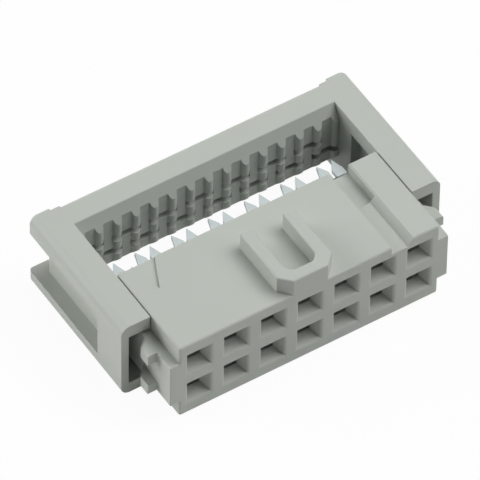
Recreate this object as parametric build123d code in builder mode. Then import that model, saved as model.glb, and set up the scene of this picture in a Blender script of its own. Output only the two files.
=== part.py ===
import os
from math import radians, tan

from build123d import *

# Fourteen-way ribbon cable socket, parked open, in millimetres.
# +X runs along the rows, +Y points from the mating face to the cable, +Z is the keyed side.
# The origin is the centre of the mating face.

# Contact grid and cable
ways = 7
pin_pitch = 2.54
row_pitch = 2.54
cable_thickness = 0.95
travel = 3.0

# Housing block and its sockets
body_depth = 6.9
body_height = 6.0
end_wall = 1.38
edge_radius = 0.15
mouth_size = 1.68
throat_size = 1.07
throat_depth = 0.83
front_wall = 0.86
cavity_width = 1.6

# Polarising key, a U open towards the cable
key_width = 3.8
key_side = 0.85
key_front = 0.8
key_length = 4.72
key_height = 1.25
key_corner = 0.72
key_inner_radius = 0.35
key_edge_radius = 0.12

# Groove along the top of the housing, with a deeper rear part
groove_from_end = 1.84
groove_slope = 0.41
groove_floor = 1.13
groove_depth = 0.55
pocket_from_end = 1.94
pocket_width = 1.2
pocket_depth = 0.8
pocket_start = 4.05

# First-way triangle on the rear edge of the top
triangle_base = 2.14
triangle_height = 2.3
triangle_depth = 0.2
triangle_shift = 0.16

# Side rails and latch hooks
rail_proud = 0.64
rail_height = 3.4
hook_proud = 0.61
hook_start = 1.46
hook_flat = 0.84
hook_ramp = 0.65
hook_gap = 1.72
hook_round = 0.35
hook_edge = 0.2

# Contacts, each one bent strip: fork, neck, box and two spring beams
strip = 0.3
fork_plane = 0.55
fork_width = 1.58
fork_reach = 2.45
tip_spacing = 1.04
tine_gap = 0.25
outer_flank_angle = 18.0
inner_flank_angle = 30.0
slot_length = 3.3
seat_depth = 1.95
contact_clearance = 0.05
neck_lap = 0.6
box_gap = 0.25
box_length = 1.3
beam_strip = 0.2
beam_height = 0.9
beam_lift = 0.1
beam_set_back = 0.64
beam_lead = 0.5
beam_gap = 0.5
beam_mouth = 0.8

# Cover: two arms and a bar
slide_clearance = 0.06
arm_width = 2.0
arm_inset = 0.08
arm_radius = 0.6
arm_tail = 0.25
tail_inset = 0.64
tail_radius = 0.25
cover_height = 5.88
bar_thickness = 2.3
bar_drop = 0.64
bar_radius = 0.3

# Comb on the inner face of the bar, rounded ridges on a flat bed
lead_in = 0.65
lead_in_height = 1.13
lead_out = 1.02
ridge_radius = 0.3
ridge_height = 0.24
tip_clearance = 0.3
window_side = 0.2
window_gap = 0.07

# Grooves, mouths and channels in the arms
arm_pad = 1.9
mouth_wall = 0.54
mouth_top = 1.95
mouth_bottom = 2.1
hook_clearance = 0.05
channel_depth = 0.91
channel_top = 1.6
channel_bottom = 1.75
channel_web = 0.4
notch_length = 0.55

# Places worked out from the sizes above
cable_pitch = pin_pitch / 2
stagger = cable_pitch / 2
top = body_height / 2
body_half = pin_pitch * (ways - 1) / 2 + end_wall
cavity_height = row_pitch - 2 * (fork_plane - strip / 2 - contact_clearance)
rail_x = body_half + rail_proud
hook_x = rail_x + hook_proud
hook_flat_end = hook_start + hook_flat
hook_end = hook_flat_end + hook_ramp
fork_tip = body_depth + fork_reach
fork_seat = body_depth - seat_depth
arm_inner = body_half + slide_clearance
arm_outer = arm_inner + arm_width
arm_front = arm_inset + travel
ridge_front = body_depth + cable_thickness + travel
bar_inner = ridge_front + lead_in
bar_back = ridge_front + bar_thickness
arm_back = bar_back + arm_tail
cover_half = cover_height / 2
pad_front = bar_inner - arm_pad
rail_end = pad_front - travel - 2 * slide_clearance
front_middle = (Align.CENTER, Align.MIN)


def across(y):
    """Plane facing the mating side at depth y, with local x = X and local y = Z."""
    return Plane.XZ.offset(-y)


def level(z):
    """Plane facing up at height z, with local x = X and local y = Y."""
    return Plane.XY.offset(z)


def cut_box(x0, x1, y0, y1, z0, z1):
    """Cut a box given by its limits out of the part being built."""
    with BuildSketch(level(z0)) as plan:
        with Locations(((x0 + x1) / 2, (y0 + y1) / 2)):
            Rectangle(x1 - x0, y1 - y0)
    extrude(plan.sketch, amount=z1 - z0, mode=Mode.SUBTRACT)


# Space of one socket: funnel mouth, throat through the front wall, cavity open to the rear
with BuildPart() as socket:
    with BuildSketch(across(0)):
        Rectangle(mouth_size, mouth_size)
    with BuildSketch(across(throat_depth)):
        Rectangle(throat_size, throat_size)
    loft()
    with BuildSketch(across(throat_depth)):
        Rectangle(throat_size, throat_size)
    extrude(amount=throat_depth - front_wall)
    with BuildSketch(across(front_wall)):
        Rectangle(cavity_width, cavity_height)
    extrude(amount=front_wall - body_depth)

# Key, with chamfered front corners
with BuildPart() as key:
    with BuildSketch(level(top - edge_radius)) as key_plan:
        Rectangle(key_width, key_length, align=front_middle)
        chamfer(key_plan.vertices().group_by(Axis.Y)[0], key_corner)
        with Locations((0, key_front)):
            Rectangle(key_width - 2 * key_side, key_length, align=front_middle, mode=Mode.SUBTRACT)
        inner = key_plan.vertices().filter_by_position(Axis.Y, key_front, key_front)
        fillet(inner, key_inner_radius)
    extrude(amount=key_height + edge_radius)
    fillet(key.faces().sort_by(Axis.Z)[-1].edges(), key_edge_radius)

# Housing: one moulding
with BuildPart() as housing:
    with BuildSketch(level(-top)):
        Rectangle(2 * body_half, body_depth, align=front_middle)
    extrude(amount=body_height)
    fillet(housing.edges(), edge_radius)

    # Groove with a sloped right side, and its deeper rear part
    groove_right = body_half - groove_from_end
    groove_left = groove_right - groove_slope - groove_floor
    with BuildSketch(across(0)):
        with BuildLine():
            Polyline(
                (groove_left, top + edge_radius),
                (groove_left, top - groove_depth),
                (groove_right - groove_slope, top - groove_depth),
                (groove_right, top),
                (groove_right, top + edge_radius),
                close=True,
            )
        make_face()
    extrude(amount=-body_depth, mode=Mode.SUBTRACT)
    pocket_right = body_half - pocket_from_end
    cut_box(pocket_right - pocket_width, pocket_right, pocket_start, body_depth, top - pocket_depth, top)

    # Triangle
    first_way = -pin_pitch * (ways - 1) / 2 + triangle_shift
    with BuildSketch(level(top)):
        with BuildLine():
            Polyline(
                (first_way - triangle_base / 2, body_depth),
                (first_way + triangle_base / 2, body_depth),
                (first_way, body_depth - triangle_height),
                close=True,
            )
        make_face()
    extrude(amount=-triangle_depth, mode=Mode.SUBTRACT)

    # Rails, with two hooks on each that catch the cover once it is pressed home
    with BuildSketch(level(-rail_height / 2)):
        with Locations((body_half - edge_radius, 0)):
            Rectangle(rail_proud + edge_radius, rail_end, align=(Align.MIN, Align.MIN))
        mirror(about=Plane.YZ)
    extrude(amount=rail_height)
    for low in (hook_gap / 2, -rail_height / 2):
        with BuildSketch(level(low)) as hook_plan:
            with BuildLine():
                Polyline(
                    (rail_x - edge_radius, hook_start),
                    (hook_x, hook_start),
                    (hook_x, hook_flat_end),
                    (rail_x, hook_end),
                    (rail_x - edge_radius, hook_end),
                    close=True,
                )
            make_face()
            tips = hook_plan.vertices().group_by(Axis.X)[-1]
            fillet(tips.sort_by(Axis.Y)[-1], hook_round)
            mirror(about=Plane.YZ)
        extrude(amount=(rail_height - hook_gap) / 2)
    rail_top = housing.edges().filter_by_position(Axis.Z, rail_height / 2, rail_height / 2)
    hook_tops = rail_top.filter_by(lambda edge: abs((edge @ 0.5).X) > (rail_x + body_half) / 2)
    fillet(hook_tops.filter_by_position(Axis.Y, hook_start + hook_flat / 4, hook_end), hook_edge)

    add(key.part)
    grid = [spot.position for spot in GridLocations(pin_pitch, row_pitch, ways, 2)]
    with Locations(*[(spot.X, 0, spot.Y) for spot in grid]):
        add(socket.part, mode=Mode.SUBTRACT)

    # Slots in the rear that seat the forks' shoulders
    with BuildSketch(across(fork_seat)):
        for side in (1, -1):
            with Locations((-side * stagger, side * fork_plane)):
                with GridLocations(pin_pitch, row_pitch, ways, 1):
                    Rectangle(fork_width + 2 * contact_clearance, strip + 2 * contact_clearance)
    extrude(amount=-seat_depth, mode=Mode.SUBTRACT)

# One contact of the upper row, for the socket at X = 0
half_fork = fork_width / 2
half_tips = tip_spacing / 2
half_gap = tine_gap / 2
half_neck = cavity_width / 2 - contact_clearance
outer_flank = (half_fork - half_tips) / tan(radians(outer_flank_angle))
inner_flank = (half_tips - half_gap) / tan(radians(inner_flank_angle))
slot_bottom = fork_tip - slot_length
strip_low = fork_plane - strip / 2
strip_high = fork_plane + strip / 2
beam_top = strip_high + beam_height
box_back = fork_seat - box_gap
box_front = box_back - box_length
beam_front = front_wall + beam_set_back
beam_contact = beam_front + beam_lead

with BuildPart() as contact:
    # Fork whose two tines pierce the cable, and the neck that joins it to the box
    with BuildSketch(level(strip_low)):
        with Locations((-stagger, 0)):
            with BuildSketch(mode=Mode.PRIVATE) as fork_plan:
                with BuildLine():
                    Polyline(
                        (-half_gap, slot_bottom),
                        (-half_gap, fork_tip - inner_flank),
                        (-half_tips, fork_tip),
                        (-half_fork, fork_tip - outer_flank),
                        (-half_fork, fork_seat),
                        (half_fork, fork_seat),
                        (half_fork, fork_tip - outer_flank),
                        (half_tips, fork_tip),
                        (half_gap, fork_tip - inner_flank),
                        (half_gap, slot_bottom),
                    )
                    ThreePointArc((half_gap, slot_bottom), (0, slot_bottom - half_gap), (-half_gap, slot_bottom))
                make_face()
            add(fork_plan.sketch)
        with Locations((0, box_back)):
            Rectangle(2 * half_neck, box_gap + neck_lap, align=front_middle)
        with Locations((0, beam_front)):
            Rectangle(2 * (half_neck - beam_strip), box_back - beam_front, align=front_middle)
    extrude(amount=strip)

    # Box bent up round the neck
    with BuildSketch(across(box_back)) as box_section:
        with Locations((0, strip_low)):
            Rectangle(2 * half_neck, beam_top - strip_low, align=front_middle)
        fillet(box_section.vertices().group_by(Axis.Y)[0], beam_strip)
        with Locations((0, strip_high)):
            Rectangle(2 * (half_neck - beam_strip), beam_height, align=front_middle, mode=Mode.SUBTRACT)
    extrude(amount=box_length)

    # Spring beams that close on the pin and flare at the mouth
    with BuildSketch(level(strip_high + beam_lift)):
        with BuildLine():
            Polyline(
                (half_neck, box_front),
                (beam_gap / 2 + beam_strip, beam_contact),
                (beam_mouth / 2 + beam_strip, beam_front),
                (beam_mouth / 2, beam_front),
                (beam_gap / 2, beam_contact),
                (half_neck - beam_strip, box_front),
                close=True,
            )
        make_face()
        mirror(about=Plane.YZ)
    extrude(amount=beam_height - beam_lift)

# Bar of the cover: the comb's plan, with a ridge on each side of every conductor, cut by a
# side profile that slopes away above and below the comb
bar_bottom = bar_drop - cover_half
with BuildPart() as bar:
    with BuildSketch(level(-cover_half)):
        with Locations((0, ridge_front + ridge_height)):
            Rectangle(2 * arm_inner, bar_thickness - ridge_height, align=front_middle)
        with Locations((0, ridge_front + ridge_radius)):
            with GridLocations(cable_pitch, cable_pitch, 2 * ways + 1, 1):
                Circle(ridge_radius)
    extrude(amount=cover_height)
    with BuildSketch(Plane.YZ) as bar_profile:
        with BuildLine():
            Polyline(
                (bar_inner, cover_half),
                (bar_back, cover_half),
                (bar_back, bar_bottom),
                (ridge_front + lead_out, bar_bottom),
                (ridge_front, bar_bottom + lead_out),
                (ridge_front, cover_half - lead_in_height),
                close=True,
            )
        make_face()
        fillet(bar_profile.vertices().group_by(Axis.X)[-1], bar_radius)
    extrude(amount=arm_inner, both=True, mode=Mode.INTERSECT)

# Cover: one moulding
with BuildPart() as cover:
    # Arms with rounded outer edges and rounded tails
    with BuildSketch(across(arm_front)) as arm_section:
        with Locations((arm_inner, 0)):
            Rectangle(arm_width, cover_height, align=(Align.MIN, Align.CENTER))
        fillet(arm_section.vertices().group_by(Axis.X)[-1], arm_radius)
        mirror(about=Plane.YZ)
    extrude(amount=arm_front - arm_back)
    fillet(cover.faces().group_by(Axis.Y)[-1].edges(), tail_radius)
    tail_x = arm_inner + tail_inset
    cut_box(-tail_x, tail_x, bar_back, arm_back, -cover_half, cover_half)

    add(bar.part)

    # Two staggered rows of windows that take the fork tips
    window_end = fork_tip + travel + tip_clearance
    with BuildSketch(across(ridge_front)):
        for side in (1, -1):
            with Locations((-side * stagger, side * fork_plane)):
                with GridLocations(pin_pitch, row_pitch, ways, 1):
                    Rectangle(fork_width + 2 * window_side, strip + 2 * window_gap)
        Rectangle(2 * arm_inner, cover_height, mode=Mode.INTERSECT)
    extrude(amount=ridge_front - window_end, mode=Mode.SUBTRACT)

    # Inner groove that runs on the housing's rail, and the mouth that clears the hooks
    groove_x = rail_x + hook_clearance
    half_groove = rail_height / 2 + slide_clearance
    swept_x = hook_x + hook_clearance
    swept_flat = hook_flat_end + travel + hook_clearance
    swept_end = hook_end + travel + hook_clearance
    with BuildSketch(level(-half_groove)):
        with Locations((body_half, arm_front)):
            Rectangle(groove_x - body_half, pad_front - arm_front, align=(Align.MIN, Align.MIN))
        mirror(about=Plane.YZ)
    extrude(amount=2 * half_groove, mode=Mode.SUBTRACT)
    with BuildSketch(level(-mouth_bottom)):
        with BuildLine():
            Polyline(
                (body_half, arm_front),
                (arm_outer - mouth_wall, arm_front),
                (arm_outer - mouth_wall, swept_flat),
                (swept_x, swept_flat),
                (groove_x, swept_end),
                (body_half, swept_end),
                close=True,
            )
        make_face()
        mirror(about=Plane.YZ)
    extrude(amount=mouth_top + mouth_bottom, mode=Mode.SUBTRACT)

    # Outer channels for the strain relief clip, open at the back through a notch
    channel_front = hook_flat_end + travel + channel_web
    channel_x = arm_outer - channel_depth
    for near, far, start in ((channel_x, arm_outer, channel_front), (tail_x, arm_outer, bar_back - notch_length)):
        cut_box(near, far, start, arm_back, -channel_bottom, channel_top)
        cut_box(-far, -near, start, arm_back, -channel_bottom, channel_top)

os.makedirs("parts", exist_ok=True)
housing.part.label = "housing"
export_step(housing.part, "parts/housing.step")
cover.part.label = "cover"
export_step(cover.part, "parts/cover.step")
for row, turn in (("a", 0), ("b", 180)):
    for way in range(ways):
        x = pin_pitch * (way - (ways - 1) / 2)
        piece = contact.part.moved(Location((x, 0, 0), (0, turn, 0)))
        piece.label = f"contact_{row}{way + 1}"
        export_step(piece, f"parts/{piece.label}.step")
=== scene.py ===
# %% [markdown]
# # A ribbon cable socket on a white table
# The object is a small pale grey connector, 22 mm wide. Its body and its sliding cover are two
# plastic mouldings, and fourteen stamped metal contacts show as sharp fork tips in the gap
# between them. Everything is in metres, and the frame already holds each part at its real place,
# so this script only has to finish the surfaces, light them and set up the camera.

# %% Load the frame
from math import cos, radians, sin

import bmesh
import bpy
import numpy as np
from mathutils import Matrix, Vector


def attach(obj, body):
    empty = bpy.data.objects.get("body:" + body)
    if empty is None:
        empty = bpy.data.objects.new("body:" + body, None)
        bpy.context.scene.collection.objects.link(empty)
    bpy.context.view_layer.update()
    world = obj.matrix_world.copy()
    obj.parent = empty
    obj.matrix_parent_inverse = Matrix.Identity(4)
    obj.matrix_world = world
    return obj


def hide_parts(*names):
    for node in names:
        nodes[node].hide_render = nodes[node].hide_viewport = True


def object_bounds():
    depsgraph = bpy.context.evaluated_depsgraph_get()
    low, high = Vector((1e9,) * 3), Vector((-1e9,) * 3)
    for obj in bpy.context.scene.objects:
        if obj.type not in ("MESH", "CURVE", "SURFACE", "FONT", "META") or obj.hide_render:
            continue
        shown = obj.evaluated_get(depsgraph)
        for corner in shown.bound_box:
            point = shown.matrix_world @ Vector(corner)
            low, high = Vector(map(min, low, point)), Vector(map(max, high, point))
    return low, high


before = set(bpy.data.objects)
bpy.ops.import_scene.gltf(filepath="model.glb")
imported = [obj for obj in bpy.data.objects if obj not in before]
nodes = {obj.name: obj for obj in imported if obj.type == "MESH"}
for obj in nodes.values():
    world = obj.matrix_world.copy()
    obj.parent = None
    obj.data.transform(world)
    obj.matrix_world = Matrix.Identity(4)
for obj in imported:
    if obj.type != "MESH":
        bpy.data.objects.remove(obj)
cad_low, cad_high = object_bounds()
mm = 0.001
print("nodes:", len(nodes), "size in mm:", [round(side / mm, 2) for side in cad_high - cad_low])

# %% [markdown]
# ## Camera
# The photograph looks down on the socket from the left of its mating face, from far away, so
# parallel edges stay almost parallel. A long lens at a fair distance gives that. The camera is
# turned by an azimuth, an elevation and a small roll, and then placed so that the middle of the
# mating face lands on its pixel in a picture 480 pixels wide.

# %% Place the camera
picture_width = 480
azimuth = radians(33.118)
elevation = radians(49.108)
roll = radians(0.852)
distance = 467.23 * mm
focal_pixels = 8003.3
face_centre_pixel = (309.98, 320.65)
sensor_in_mm = 36.0
nearest, farthest = 0.01, 50.0

forward = np.array([sin(azimuth) * cos(elevation), cos(azimuth) * cos(elevation), -sin(elevation)])
level_right = np.array([cos(azimuth), -sin(azimuth), 0.0])
level_up = np.cross(level_right, forward)
right = cos(roll) * level_right + sin(roll) * level_up
up = cos(roll) * level_up - sin(roll) * level_right
across_x = (face_centre_pixel[0] - picture_width / 2) / focal_pixels
across_y = (picture_width / 2 - face_centre_pixel[1]) / focal_pixels
eye = -distance * (forward + across_x * right + across_y * up)

camera = bpy.data.objects.new("camera", bpy.data.cameras.new("camera"))
camera.data.sensor_width = sensor_in_mm
camera.data.lens = focal_pixels / picture_width * sensor_in_mm
camera.data.clip_start, camera.data.clip_end = nearest, farthest
turned = Matrix((right, up, -forward)).transposed().to_4x4()
camera.matrix_world = Matrix.Translation(Vector(eye)) @ turned
bpy.context.scene.collection.objects.link(camera)
bpy.context.scene.camera = camera
print("lens in mm:", round(camera.data.lens), "eye in mm:", [round(v / mm, 1) for v in eye])

# %% [markdown]
# ## Helpers for materials
# Colours are written as the hex values that a screen shows, and one function turns them to the
# linear values that a shader needs. Another small function adds a node, sets it up and links it,
# so that each material reads as a short list of what it is made of. The table and the
# surroundings both have to be white to the eye without lighting the part, so a last function
# tells the rays that look at them from the rays that carry light.

# %% Colour and node helpers
def linear(code):
    """Linear RGBA of an sRGB hex colour such as #BBC0B9."""
    shown = np.array([int(code[i:i + 2], 16) for i in (1, 3, 5)]) / 255
    low, high = shown / 12.92, ((shown + 0.055) / 1.055) ** 2.4
    return (*np.where(shown <= 0.04045, low, high).tolist(), 1.0)


def add(tree, kind, inputs=None, **settings):
    """Add a node, set its properties, and set or link its inputs."""
    made = tree.nodes.new(kind)
    for name, value in settings.items():
        setattr(made, name, value)
    for name, value in (inputs or {}).items():
        if isinstance(value, bpy.types.NodeSocket):
            tree.links.new(value, made.inputs[name])
        else:
            made.inputs[name].default_value = value
    return made


def new_material(name):
    """An empty material and its node tree."""
    material = bpy.data.materials.new(name)
    material.use_nodes = True
    material.node_tree.nodes.clear()
    return material, material.node_tree


def seen_directly(tree):
    """A value of 1 where the camera, a reflection or a clear material looks at the surface, else 0."""
    path = add(tree, "ShaderNodeLightPath").outputs
    through = {0: path["Is Glossy Ray"], 1: path["Is Transmission Ray"]}
    shiny = add(tree, "ShaderNodeMath", through, operation="MAXIMUM").outputs["Value"]
    either = {0: path["Is Camera Ray"], 1: shiny}
    return add(tree, "ShaderNodeMath", either, operation="MAXIMUM").outputs["Value"]


print("pebble grey, linear:", [round(v, 3) for v in linear("#B8BDB6")])

# %% [markdown]
# ## Moulded plastic
# Housing and cover are moulded in a pale grey, glass-filled polyester. The mould is spark-eroded,
# which leaves a fine matt grain, and the melt leaves very faint clouds of tone where it flowed.
# Clouds and grain are two noises on Object coordinates, sized in real millimetres. A real grain
# is too fine to show in the render, so it is drawn as coarse as it needs to be seen.

# %% Moulded polyester
cloud_size = 3.5 * mm
grain_size = 0.09 * mm
grain_height = 0.004 * mm
grain_share = 0.6
polyester_index = 1.57
smoothest_grey, roughest_grey = 0.52, 0.62

polyester, tree = new_material("moulded_polyester")
place = add(tree, "ShaderNodeTexCoord").outputs["Object"]
clouds = add(tree, "ShaderNodeTexNoise", {"Vector": place, "Scale": 1 / cloud_size, "Detail": 3.0})
tone = add(
    tree,
    "ShaderNodeMix",
    {"Factor": clouds.outputs["Fac"], "A": linear("#B6BBB4"), "B": linear("#BABFB8")},
    data_type="RGBA",
)
grain = add(tree, "ShaderNodeTexNoise", {"Vector": place, "Scale": 1 / grain_size, "Detail": 2.0})
relief = {"Height": grain.outputs["Fac"], "Distance": grain_height, "Strength": grain_share}
bump = add(tree, "ShaderNodeBump", relief)
sheen_map = add(
    tree,
    "ShaderNodeMapRange",
    {"Value": clouds.outputs["Fac"], "To Min": smoothest_grey, "To Max": roughest_grey},
)
shader = add(
    tree,
    "ShaderNodeBsdfPrincipled",
    {
        "Base Color": tone.outputs["Result"],
        "Roughness": sheen_map.outputs["Result"],
        "IOR": polyester_index,
        "Normal": bump.outputs["Normal"],
    },
)
add(tree, "ShaderNodeOutputMaterial", {"Surface": shader.outputs["BSDF"]})
print("grain of", grain_size / mm, "mm on", polyester.name)

# %% [markdown]
# ## Tin-plated strip
# The contacts are stamped from rolled copper alloy and plated with tin, a soft grey-white metal
# with a satin gloss. Rolling leaves fine lines along the strip, which runs along Y here, so the
# noise is stretched that way.

# %% Tin-plated strip
line_width = 0.05 * mm
line_length = 1.2 * mm
line_height = 0.0006 * mm
line_share = 0.5
smoothest_tin, roughest_tin = 0.34, 0.46

tin, tree = new_material("tin_plated_strip")
place = add(tree, "ShaderNodeTexCoord").outputs["Object"]
stretched = add(
    tree,
    "ShaderNodeMapping",
    {"Vector": place, "Scale": (1 / line_width, 1 / line_length, 1 / line_width)},
)
along_strip = stretched.outputs["Vector"]
lines = add(tree, "ShaderNodeTexNoise", {"Vector": along_strip, "Scale": 1.0, "Detail": 2.0})
gloss = add(
    tree,
    "ShaderNodeMapRange",
    {"Value": lines.outputs["Fac"], "To Min": smoothest_tin, "To Max": roughest_tin},
)
relief = {"Height": lines.outputs["Fac"], "Distance": line_height, "Strength": line_share}
bump = add(tree, "ShaderNodeBump", relief)
plated = add(
    tree,
    "ShaderNodeMix",
    {"Factor": lines.outputs["Fac"], "A": linear("#A8B0B1"), "B": linear("#B7BEBE")},
    data_type="RGBA",
)
shader = add(
    tree,
    "ShaderNodeBsdfPrincipled",
    {
        "Base Color": plated.outputs["Result"],
        "Metallic": 1.0,
        "Roughness": gloss.outputs["Result"],
        "Normal": bump.outputs["Normal"],
    },
)
add(tree, "ShaderNodeOutputMaterial", {"Surface": shader.outputs["BSDF"]})
print("rolled lines of", line_width / mm, "mm on", tin.name)

# %% [markdown]
# ## Softened edges
# No moulded edge is perfectly sharp: the mould's own edges are rounded by a few hundredths of a
# millimetre, and each one catches a thin line of light. The frame's meshes are loose triangles.
# A copy of each is merged, its flat triangles are joined into whole faces, and the edges to round
# are marked by kind, because a bevel modifier can read such a mark as its weight. Edges that turn
# sharply stay hard, and weighted normals let the large flat faces stay flat under smooth shading.
# The ridges of the comb are round with upright facets that turn further, so upright edges stay
# smooth up to a larger turn. The copy stands where the frame's part stands and takes its place
# in the picture.

# %% Copy a part and mark its edges
same_place = 0.0005 * mm
same_plane = radians(0.5)
upright = 0.999
hard_turn = radians(28)
curve_step = radians(42)
square_turn = radians(50)
long_edge = 0.6 * mm
least_room = 0.12 * mm


def whole_faces(name):
    """The frame part's mesh with its corners merged and its flat triangles joined into faces."""
    shape = bmesh.new()
    shape.from_mesh(nodes[name].data)
    bmesh.ops.remove_doubles(shape, verts=shape.verts, dist=same_place)
    bmesh.ops.dissolve_limit(
        shape, angle_limit=same_plane, verts=shape.verts, edges=shape.edges, delimit={"NORMAL"}
    )
    for edge in shape.edges:
        along = (edge.verts[0].co - edge.verts[1].co).normalized()
        limit = curve_step if abs(along.z) > upright else hard_turn
        edge.smooth = edge.calc_face_angle(0.0) < limit
    return shape


def mark(shape, kind, chosen):
    """Give the edges that chosen(edge) picks a weight of 1 under that kind, and let them shade smoothly."""
    weight = shape.edges.layers.float.new(kind)
    picked = [edge for edge in shape.edges if chosen(edge)]
    for edge in picked:
        edge[weight] = 1.0
        edge.smooth = True
    return len(picked)


def plain_edge(edge):
    """Whether an edge is an outer, long and sharp one, with room beside both its ends for a bevel."""
    beside = [near for loop in edge.link_loops for near in (loop.link_loop_prev, loop.link_loop_next)]
    roomy = all(near.edge.calc_length() > least_room for near in beside)
    long_and_sharp = edge.calc_length() > long_edge and edge.calc_face_angle(0.0) > square_turn
    return edge.is_manifold and edge.is_convex and roomy and long_and_sharp


# %% Show the copy in place of the part
flat_face_pull = 50


def dress(name, shape, material, rounds):
    """Show shape instead of a frame part, with one bevel for each (kind, width, segments) of rounds."""
    mesh = bpy.data.meshes.new(f"{name}_dressed")
    shape.to_mesh(mesh)
    shape.free()
    mesh.materials.append(material)
    piece = bpy.data.objects.new(f"{name}_dressed", mesh)
    bpy.context.scene.collection.objects.link(piece)
    for kind, width, segments in rounds:
        bevel = piece.modifiers.new(kind, "BEVEL")
        bevel.limit_method, bevel.edge_weight = "WEIGHT", kind
        bevel.width, bevel.segments = width, segments
        bevel.use_clamp_overlap = bevel.loop_slide = False
    flat = piece.modifiers.new("flat faces", "WEIGHTED_NORMAL")
    flat.weight, flat.keep_sharp = flat_face_pull, True
    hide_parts(name)
    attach(piece, "cover" if name == "cover" else "housing")


# %% [markdown]
# ## Housing
# Two kinds of edge on the housing are rounder than the rest. The lips of the pin openings are
# well rounded, so that pins find their way in, and so are the inner corners of the U-shaped key,
# because a sharp inner corner is where a moulding cracks. Both kinds are picked out by their
# place. An inner corner of the key climbs its wall and then follows the rounded rim, and all the
# way its x, taken without its sign, and its y have the same sum. The corners of the key are
# rounded before the other edges are marked, because the rim then runs round them as one line.

# %% Dress the housing
key_round = 0.5 * mm
key_steps = 5
lip_round = 0.12 * mm
lip_steps = 3
mould_round = 0.05 * mm
mould_steps = 2
circular = 0.5
slack = 0.005 * mm
pin_pitch = 2.54 * mm
mouth_half = 0.84 * mm
last_mouth = 3 * pin_pitch + mouth_half
upper_mouth = pin_pitch / 2 + mouth_half
key_height = 1.25 * mm
key_inner_half = 1.05 * mm
key_front_wall = 0.8 * mm
key_mitre = key_inner_half + key_front_wall
key_foot = cad_high.z - key_height


def is_lip(edge):
    """Whether an edge borders a pin opening: it lies in the mating face and turns sharply."""
    places = [corner.co for corner in edge.verts]
    in_face = all(abs(place.y) < slack for place in places)
    near_x = all(abs(place.x) < last_mouth + slack for place in places)
    near_z = all(abs(place.z) < upper_mouth + slack for place in places)
    return in_face and near_x and near_z and edge.calc_face_angle(0.0) > hard_turn


def is_key_corner(edge):
    """Whether an edge lies on the line where two inner walls of the key meet."""
    places = [corner.co for corner in edge.verts]
    one_side = places[0].x * places[1].x > 0
    on_mitre = all(abs(abs(place.x) + place.y - key_mitre) < slack for place in places)
    in_front_wall = all(0 < place.y < key_front_wall + slack for place in places)
    above_foot = all(place.z > key_foot - slack for place in places)
    return one_side and on_mitre and in_front_wall and above_foot


housing_shape = whole_faces("housing")
key_edges = [edge for edge in housing_shape.edges if is_key_corner(edge)]
bmesh.ops.bevel(
    housing_shape,
    geom=key_edges,
    offset=key_round,
    offset_type="ABSOLUTE",
    segments=key_steps,
    profile=circular,
    affect="EDGES",
    clamp_overlap=False,
)
bmesh.ops.remove_doubles(housing_shape, verts=housing_shape.verts, dist=same_place)
lip_edges = mark(housing_shape, "lip", is_lip)
mark(housing_shape, "plain", lambda edge: plain_edge(edge) and not is_lip(edge))
housing_rounds = [("lip", lip_round, lip_steps), ("plain", mould_round, mould_steps)]
dress("housing", housing_shape, polyester, housing_rounds)
print("rounded edges at the key:", len(key_edges), "at the pin openings:", lip_edges)

# %% [markdown]
# ## Cover and contacts
# The cover has the same plain edges as the housing. The contacts are stamped from strip only
# 0.3 mm thick, and their cut edges stay crisp.

# %% Dress the cover and the contacts
cover_shape = whole_faces("cover")
mark(cover_shape, "plain", plain_edge)
dress("cover", cover_shape, polyester, [("plain", mould_round, mould_steps)])
metal_names = [name for name in sorted(nodes) if name.startswith("contact")]
for name in metal_names:
    dress(name, whole_faces(name), tin, [])
print("dressed contacts:", len(metal_names))

# %% [markdown]
# ## Table and light
# The socket lies on a plain white table under soft light. The table is white to the camera and
# to reflections, and keeps a faint shadow beside the part. Three broad soft boxes stand round it:
# one high on the right, one in front on the right, and one low behind on the left. So the top and
# the left sides are bright and the mating face is in half shade. The pale surroundings add a
# very weak fill.

# %% Table
table_size = 1.2
glow_share = 0.95
floor_z = cad_low.z
corners = np.array([(-1, -1, 0), (1, -1, 0), (1, 1, 0), (-1, 1, 0)]) * table_size / 2
table_mesh = bpy.data.meshes.new("table")
table_mesh.from_pydata((corners + (0, 0, floor_z)).tolist(), [], [(0, 1, 2, 3)])
table = bpy.data.objects.new("table", table_mesh)
bpy.context.scene.collection.objects.link(table)

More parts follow.
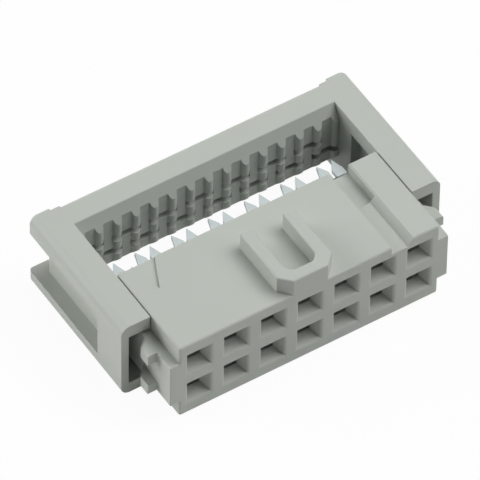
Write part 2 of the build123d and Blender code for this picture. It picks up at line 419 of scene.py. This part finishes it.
white_top, tree = new_material("white_table")
share = add(tree, "ShaderNodeMath", {0: seen_directly(tree), 1: glow_share}, operation="MULTIPLY")
paint = add(tree, "ShaderNodeBsdfDiffuse", {"Color": linear("#F2F2F0")})
glow = add(tree, "ShaderNodeEmission", {"Color": (1, 1, 1, 1), "Strength": 1.0})
mixed = add(
    tree,
    "ShaderNodeMixShader",
    {"Fac": share.outputs["Value"], 1: paint.outputs["BSDF"], 2: glow.outputs["Emission"]},
)
add(tree, "ShaderNodeOutputMaterial", {"Surface": mixed.outputs["Shader"]})
table_mesh.materials.append(white_top)

# %% World and lamps
fill_strength = 0.05
box_side = 0.36
box_distance = 0.5

world = bpy.data.worlds.new("surroundings")
bpy.context.scene.world = world
world.use_nodes = True
tree = world.node_tree
tree.nodes.clear()
fill = add(tree, "ShaderNodeBackground", {"Color": (1, 1, 1, 1), "Strength": fill_strength})
backdrop = add(tree, "ShaderNodeBackground", {"Color": (1, 1, 1, 1), "Strength": 1.0})
mixed = add(
    tree,
    "ShaderNodeMixShader",
    {"Fac": seen_directly(tree), 1: fill.outputs["Background"], 2: backdrop.outputs["Background"]},
)
add(tree, "ShaderNodeOutputWorld", {"Surface": mixed.outputs["Shader"]})


def soft_box(name, bearing, height, watts):
    """A square lamp turned to the part, that many degrees anticlockwise from +X and above the table."""
    light = bpy.data.lights.new(name, "AREA")
    light.shape, light.size, light.energy = "SQUARE", box_side, watts
    lamp = bpy.data.objects.new(name, light)
    turn, rise = radians(bearing), radians(height)
    towards = Vector((cos(turn) * cos(rise), sin(turn) * cos(rise), sin(rise)))
    lamp.location = towards * box_distance
    lamp.rotation_mode = "QUATERNION"
    lamp.rotation_quaternion = towards.to_track_quat("Z", "Y")
    bpy.context.scene.collection.objects.link(lamp)


soft_box("soft_box_top", 0, 65, 1.34)
soft_box("soft_box_front_right", 332, 46, 0.9)
soft_box("soft_box_left_back", 135, 18, 1.85)
bpy.context.scene.view_settings.view_transform = "Standard"
print("table at z =", round(floor_z / mm, 2), "mm")
